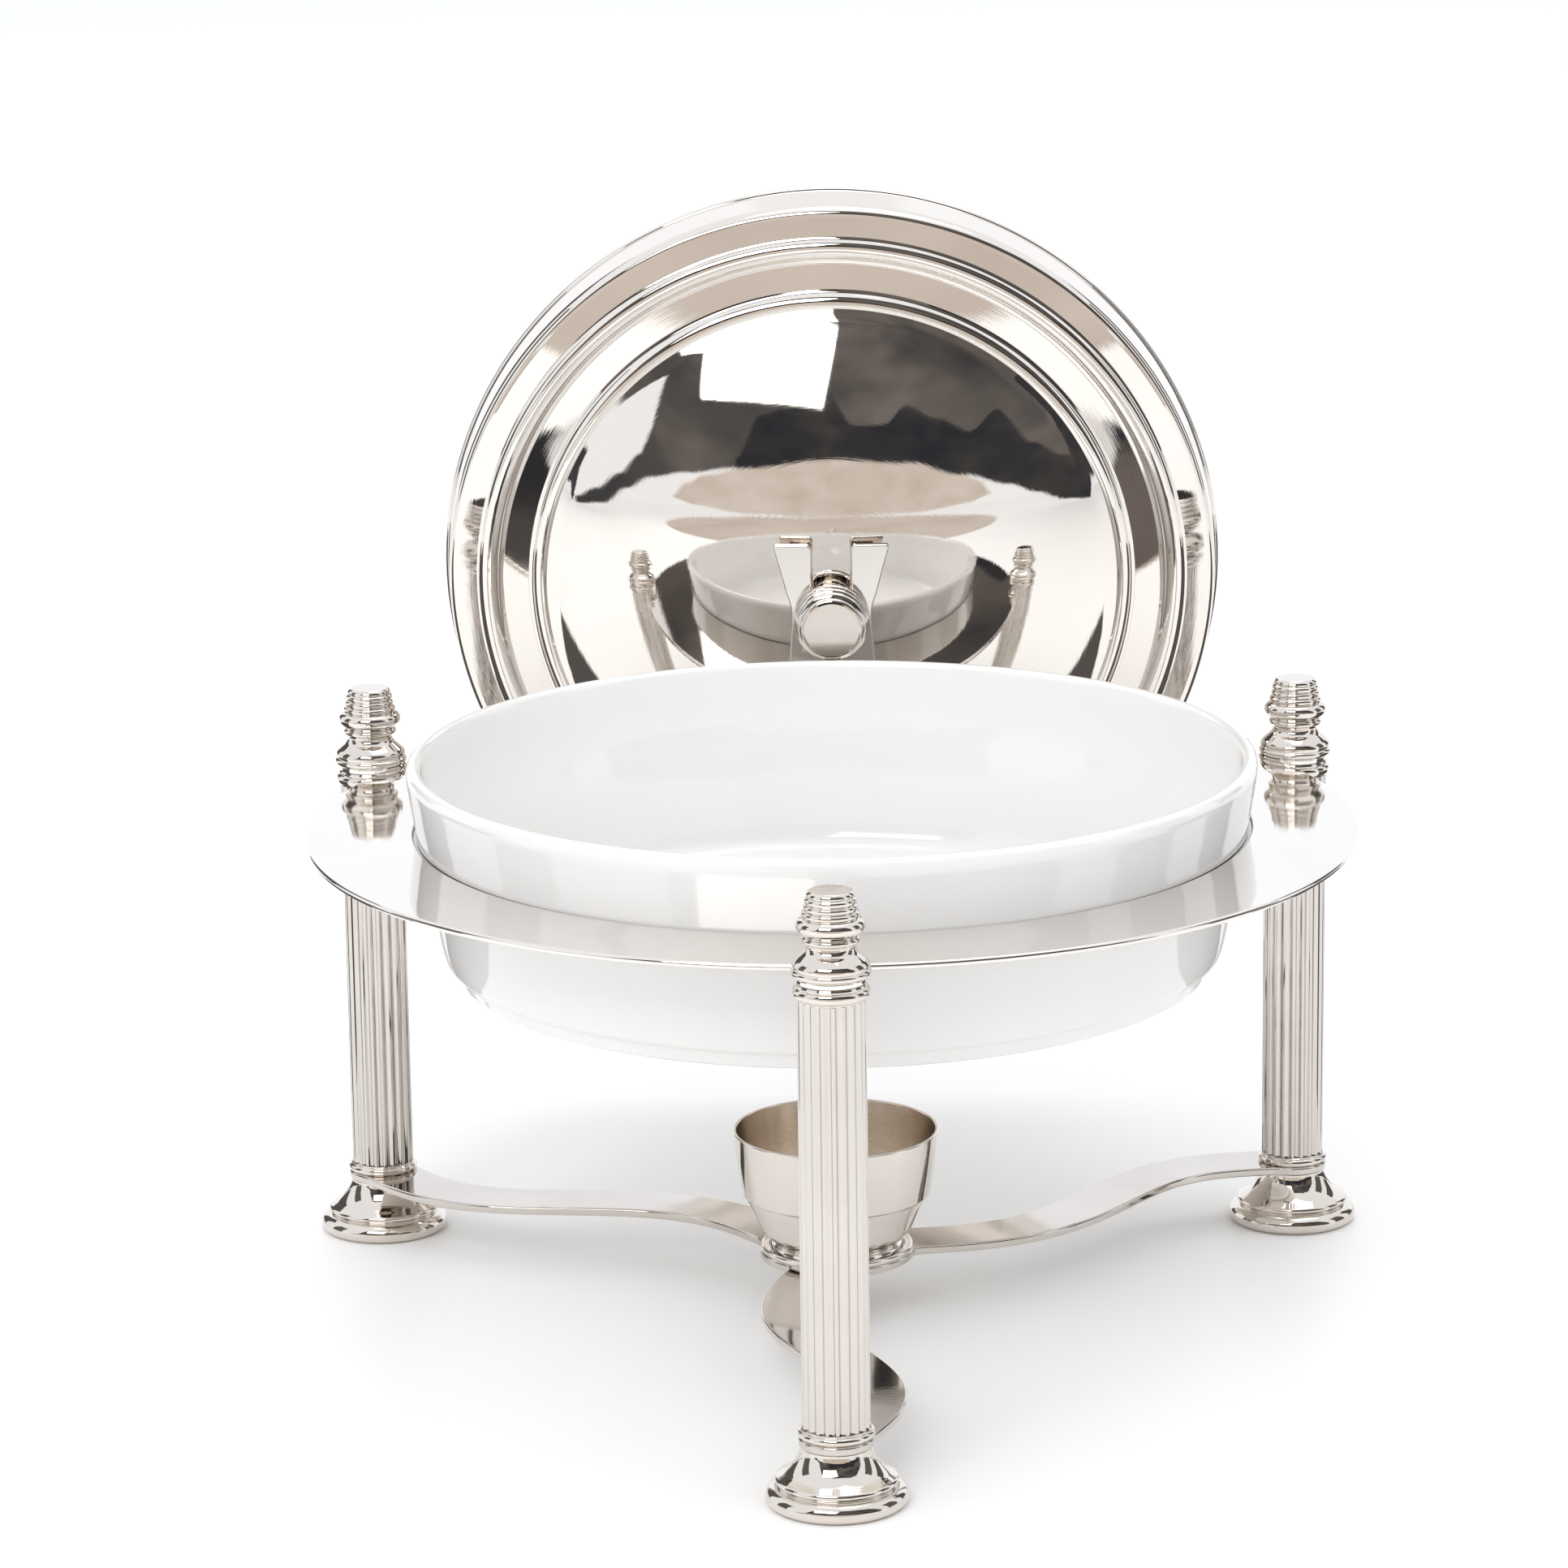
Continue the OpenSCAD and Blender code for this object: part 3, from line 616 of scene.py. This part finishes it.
piece(lathe("fuel_cup_spun", CUP, at(0, 0, Z_BASE + 0.4), [CUP_OUT, CUP_IN], closed=False, seg=192,
            second=lambda r, z, nr, nz: z > 3.9 and (nr < -0.02 or (nz > 0.3 and r < c - 20))),
      "burner", "cup_steel", "burner_cup")

# ------------------------------------------------------------------ lid
DOME_R, DOME_O, FLAT_R = LID_R - 53.4, 35.0, 13.0
hh = LID_H - DOME_O
BIG = (DOME_R ** 2 + hh ** 2) / (2 * hh)
A1, A0 = math.asin(DOME_R / BIG), math.asin(FLAT_R / BIG)
KK = BIG * (math.cos(A0) - math.cos(A1))
L = LID_R
skin = [(L - 1.5, 0, 0.7), (L - 0.3, 0.35, R), (L, 1.5, R), (L - 0.3, 2.7, R), (L - 1.35, 3.4, 0.5), (L - 1.6, 5, R),
        (L - 3.2, 23.6, R), (L - 4.0, 26.0, R), (L - 5.5, 27.7, R), (L - 7.8, 28.3, 4.0), (L - 17.6, 29.6, 1.6),
        (L - 18.9, 30.3, R), (L - 20.2, 31.7, R), (L - 22.2, 32.6, R), (L - 25.0, 32.7, R), (L - 27.2, 32.0, R),
        (L - 28.9, 30.8, R), (L - 30.8, 30.5, 3.0), (L - 43.6, 31.6, 1.6), (L - 45.3, 32.3, R), (L - 46.7, 33.9, R),
        (L - 48.7, 35.1, R), (L - 51.0, 35.5, R), (L - 52.6, 35.0, 0.5)]
for i in range(1, 33):
    a = A1 + (A0 - A1) * i / 32
    skin.append((BIG * math.sin(a), DOME_O + BIG * (math.cos(a) - math.cos(A1)) * hh / KK, R))
under = []
for i in range(len(skin) - 1, 3, -1):
    p, q = skin[max(i - 1, 0)], skin[min(i + 1, len(skin) - 1)]
    dx, dy = q[0] - p[0], q[1] - p[1]
    ln = math.hypot(dx, dy)
    under.append((skin[i][0] - LID_W * dy / ln, skin[i][1] + LID_W * dx / ln, R))
under = [(2.5, LID_H - LID_W, 0.2), (FLAT_R - 1, LID_H - LID_W, 4.0)] + under[1:] + [(L - 1.5 - LID_W, 3.4, 0.6), (L - 1.5 - LID_W, 0.3, 0.5)]
LID = skin + [(1.9, LID_H, 0.2)] + under


def is_inside(r, z, nr, nz):
    return (nz < -0.05 and z > 6) or (nr < -0.6 and r > 100 and z > 2)


lid = lathe("lid_spun_dome", LID, AT_LID @ Matrix.Translation((0, 0, -LID_H * MM)), [NICKEL_LID, LID_INSIDE], seg=320, second=is_inside)
piece(lid, "lid", "polished_lid", "lid_shell")

d = 11.3
KNOB = [(1.9, 0, 0.1), (11.6, 0, 0.3), (12.3, 0.9, R), (11.8, 1.9, R), (9.9, 2.6, R), (9.2, 3.8, R), (9.2, d, 0.25), (16.9, d, 0.5),
        (18.2, d + 0.7, R), (18.8, d + 2.1, R), (18.5, d + 3.6, R), (17.3, d + 4.5, G), (18.1, d + 5.3, R), (18.5, d + 6.7, R),
        (18.1, d + 8.2, R), (16.8, d + 9.0, G), (17.4, d + 9.8, R), (17.8, d + 11.0, R), (17.2, d + 12.3, R), (16.0, d + 13.0, R),
        (15.1, d + 13.4, G), (15.7, d + 14.2, R), (15.6, d + 15.3, R), (14.8, d + 16.1, R), (13.4, d + 16.6, 0.5), (6, d + 16.6, R), (0, d + 16.6)]
piece(lathe("lid_knob_turned", KNOB, AT_LID, [NICKEL], closed=False, seg=144), "lid", "polished_nickel", "lid_knob")
piece(lathe("knob_washer_flat", [(1.9, -2.9, 0.3), (10.4, -2.9, 0.5), (10.4, -1.5, 0.1), (1.9, -1.5, 0.1)], AT_LID, [FIXING], seg=96),
      "lid", "fixing_steel", "knob_washer")

# hidden rods, nuts and slotted screws keep their CAD shape with a steel finish
for name, ob in frame["nodes"].items():
    if name.startswith(("tie_rod", "foot_nut", "bracket_screw", "knob_screw")):
        ob.data.materials.clear()
        ob.data.materials.append(FIXING)

# ------------------------------------------------------------------ studio
def glow(name, colour, strength, detail=None):
    n = Nodes(name)
    e = n.add("ShaderNodeEmission")
    e.inputs["Color"].default_value = (*colour, 1)
    e.inputs["Strength"].default_value = strength
    if detail:
        low, high, scale = detail
        tex = n.noise(n.scaled(1.0, 1.0, 1.6), scale, 3.0, 0.55, 0.4)
        n.link(n.ramp(tex, [(0.35, low), (0.5, colour), (0.68, high)]), e.inputs["Color"])
    n.link(e.outputs[0], n.out.inputs["Surface"])
    return n.mat


def wall(name, az0, az1, z0, z1, radius, mat, camera=False):
    """A curved card round the object. Azimuths in degrees, 0 toward -Y and positive toward +X."""
    verts, faces = [], []
    count = max(2, int(abs(az1 - az0) / 3))
    for i in range(count + 1):
        a = math.radians(az0 + (az1 - az0) * i / count)
        for z in (z0, z1):
            verts.append((radius * math.sin(a), -radius * math.cos(a), z))
    for i in range(count):
        faces.append((2 * i, 2 * i + 1, 2 * i + 3, 2 * i + 2))
    ob = make(name, verts, faces, None, Matrix.Identity(4), [mat])
    ob.visible_camera = camera
    ob.visible_diffuse = False
    ob.visible_shadow = False
    ob.visible_transmission = False
    return ob


def band(name, low, high, radius, mat):
    """A card round the object between two smooth curves of (azimuth, elevation) in degrees, seen from the lid."""
    def curve(pts, a):
        for (a0, e0), (a1, e1) in zip(pts, pts[1:]):
            if a <= a1:
                t = max(0.0, (a - a0) / (a1 - a0))
                t = t * t * (3 - 2 * t)
                return e0 + (e1 - e0) * t
        return pts[-1][1]
    first, last = low[0][0], low[-1][0]
    count = int(last - first)
    verts, faces = [], []
    for i in range(count + 1):
        az = first + (last - first) * i / count
        e0 = curve(low, az)
        e1 = max(curve(high, az), e0 + 0.02)
        a = math.radians(az)
        for e in (e0, e1):
            z = max(0.02, Z_EYE + radius * math.tan(math.radians(e)))
            verts.append((radius * math.sin(a), -radius * math.cos(a), z))
    for i in range(count):
        faces.append((2 * i, 2 * i + 1, 2 * i + 3, 2 * i + 2))
    ob = make(name, verts, faces, None, Matrix.Identity(4), [mat])
    ob.visible_camera = False
    ob.visible_diffuse = False
    ob.visible_shadow = False
    ob.visible_transmission = False


Z_EYE = APEX_Z * MM + 0.03

fl = Nodes("studio_floor")
fine = fl.noise(fl.coords(), 140.0, 3.0, 0.6)
fl.principled(Base_Color=fl.ramp(fl.noise(fl.coords(), 3.0, 3.0, 0.5), [(0.3, (0.985, 0.978, 0.965)), (0.7, (0.972, 0.965, 0.952))]),
              Roughness=fl.span(fine, 0.3, 0.7, 0.34, 0.42), Normal=fl.bump(fine, 0.00001), Specular_IOR_Level=0.06)
fv = [(9 * math.cos(math.radians(a)), 9 * math.sin(math.radians(a)), 0) for a in range(0, 360, 4)]
floor = make("floor", fv, [tuple(range(len(fv)))], None, Matrix.Identity(4), [fl.mat])

SILL = [(-66, -4), (-58, -3), (-52, 1), (-46, 4), (-36, 6), (-24, 8), (0, 10.5), (20, 9), (33, 5), (45, 1.5), (52, -1), (60, -3.5), (70, -4.5)]
band("room_dark", SILL, [(-66, -2.5), (-60, 0), (-54, 4), (-49, 9), (-47, 15), (-46, 25), (-44, 45), (-40, 52), (0, 55), (40, 52), (58, 45), (64, 30), (70, 12)],
     4.4, glow("room_dark", (0.100, 0.092, 0.088), 1.0, ((0.058, 0.056, 0.060), (0.185, 0.165, 0.155), 0.30)))
band("room_shapes", SILL[5:], [(-24, 10), (-19, 21), (-10, 24), (-1, 27), (6, 19), (14, 19), (20, 23), (28, 19), (36, 15), (44, 19), (52, 10), (60, 6), (70, 0)],
     4.3, glow("room_shapes", (0.040, 0.040, 0.045), 1.0, ((0.030, 0.031, 0.038), (0.070, 0.063, 0.060), 0.8)))
band("counter_front", [(-40, -0.2), (-34, -1.6), (-20, -3.2), (0, -3.6), (20, -3.2), (34, -1.6), (40, -0.2)],
     [(-40, 0), (-37, 3.2), (-31, 5.8), (-20, 8.6), (0, 10.9), (20, 9.4), (31, 6.2), (37, 3.2), (40, 0)],
     4.5, glow("counter_front", (0.70, 0.625, 0.56), 1.0, ((0.76, 0.69, 0.63), (0.62, 0.54, 0.475), 0.9)))
wall("flag_left", -104, -82, 0.02, 3.0, 3.8, glow("flag_left", (0.13, 0.12, 0.113), 1.0))
wall("flag_right", 84, 106, 0.02, 3.0, 3.8, glow("flag_right", (0.13, 0.12, 0.113), 1.0))
wall("room_right_back", 122, 138, 0.05, 3.2, 4.6, glow("room_right_back", (0.11, 0.10, 0.095), 1.0))
wall("room_left_back", -150, -130, 0.05, 3.2, 4.6, glow("room_left_back", (0.11, 0.10, 0.095), 1.0))
wall("paper_back", 140, 222, 0.0, 3.4, 5.2, glow("paper_back", (1.10, 1.13, 1.18), 1.0))

oval = make("counter_top", [(2.3 * math.sin(math.radians(w)), -3.0 - 1.7 * math.cos(math.radians(w)), 0.003) for w in range(0, 360, 6)],
            [tuple(range(60))], None, Matrix.Identity(4), [glow("counter_top", (0.66, 0.59, 0.53), 1.0, ((0.71, 0.645, 0.585), (0.60, 0.53, 0.47), 0.9))])
oval.visible_camera = oval.visible_diffuse = oval.visible_shadow = oval.visible_transmission = False

for side_name, sx in (("left", -1), ("right", 1)):
    ring_pts = [(sx * x, y, 0.003) for x, y in ((0.31, 0.170), (0.42, 0.145), (0.60, 0.095), (0.90, 0.02), (1.25, -0.06), (1.50, 0.02),
                                                (1.55, 0.20), (1.40, 0.52), (0.90, 0.62), (0.50, 0.56), (0.34, 0.40))]
    strip = make("table_edge_" + side_name, ring_pts, [tuple(range(11)) if sx > 0 else tuple(range(10, -1, -1))],
                 None, Matrix.Identity(4), [glow("table_edge", (0.10, 0.092, 0.088), 1.0)])
    strip.visible_camera = strip.visible_diffuse = strip.visible_shadow = strip.visible_transmission = False

world = bpy.data.worlds.new("studio")
scene.world = world
world.use_nodes = True
bg = world.node_tree.nodes.get("Background") or world.node_tree.nodes.new("ShaderNodeBackground")
bg.inputs["Color"].default_value = (1.0, 1.02, 1.05, 1)
bg.inputs["Strength"].default_value = 1.0


def softbox(name, place, aim, sx, sy, power, colour=(1, 1, 1)):
    li = bpy.data.lights.new(name, "AREA")
    li.shape, li.size, li.size_y, li.energy, li.color = "RECTANGLE", sx, sy, power, colour
    ob = bpy.data.objects.new(name, li)
    scene.collection.objects.link(ob)
    ob.location = place
    ob.rotation_mode = "QUATERNION"
    ob.rotation_quaternion = (Vector(aim) - Vector(place)).to_track_quat("-Z", "Y")
    return ob


softbox("key", (-0.80, -2.30, 2.08), (0, 0, 0.25), 1.7, 1.15, 26)
softbox("top", (0.3, 0.5, 3.2), (0, 0, 0.1), 1.8, 1.8, 14)

# ------------------------------------------------------------------ camera
eye_at = Vector((CX + 0.012338, CY - 2.661327, Z_PT * MM + 0.679873))
fwd = Vector((0.0012816, 0.9707014, -0.2402855))
rgt = Vector((0.9999436, -0.0037776, -0.0099275))
upw = Vector((0.0105443, 0.2402593, 0.9706515))
look = (fwd - 0.013703 * rgt - 0.0010178 * upw).normalized()
upw = (upw - look * upw.dot(look)).normalized()
rgt = look.cross(upw)
cam = bpy.data.cameras.new("camera")
cam.sensor_width, cam.lens, cam.clip_end = 36.0, 137.87, 60.0
cam_ob = bpy.data.objects.new("camera", cam)
scene.collection.objects.link(cam_ob)
cam_ob.matrix_world = Matrix((
    (rgt.x, upw.x, -look.x, eye_at.x), (rgt.y, upw.y, -look.y, eye_at.y), (rgt.z, upw.z, -look.z, eye_at.z), (0, 0, 0, 1)))
scene.camera = cam_ob

# ------------------------------------------------------------------ final update
bpy.context.view_layer.update()
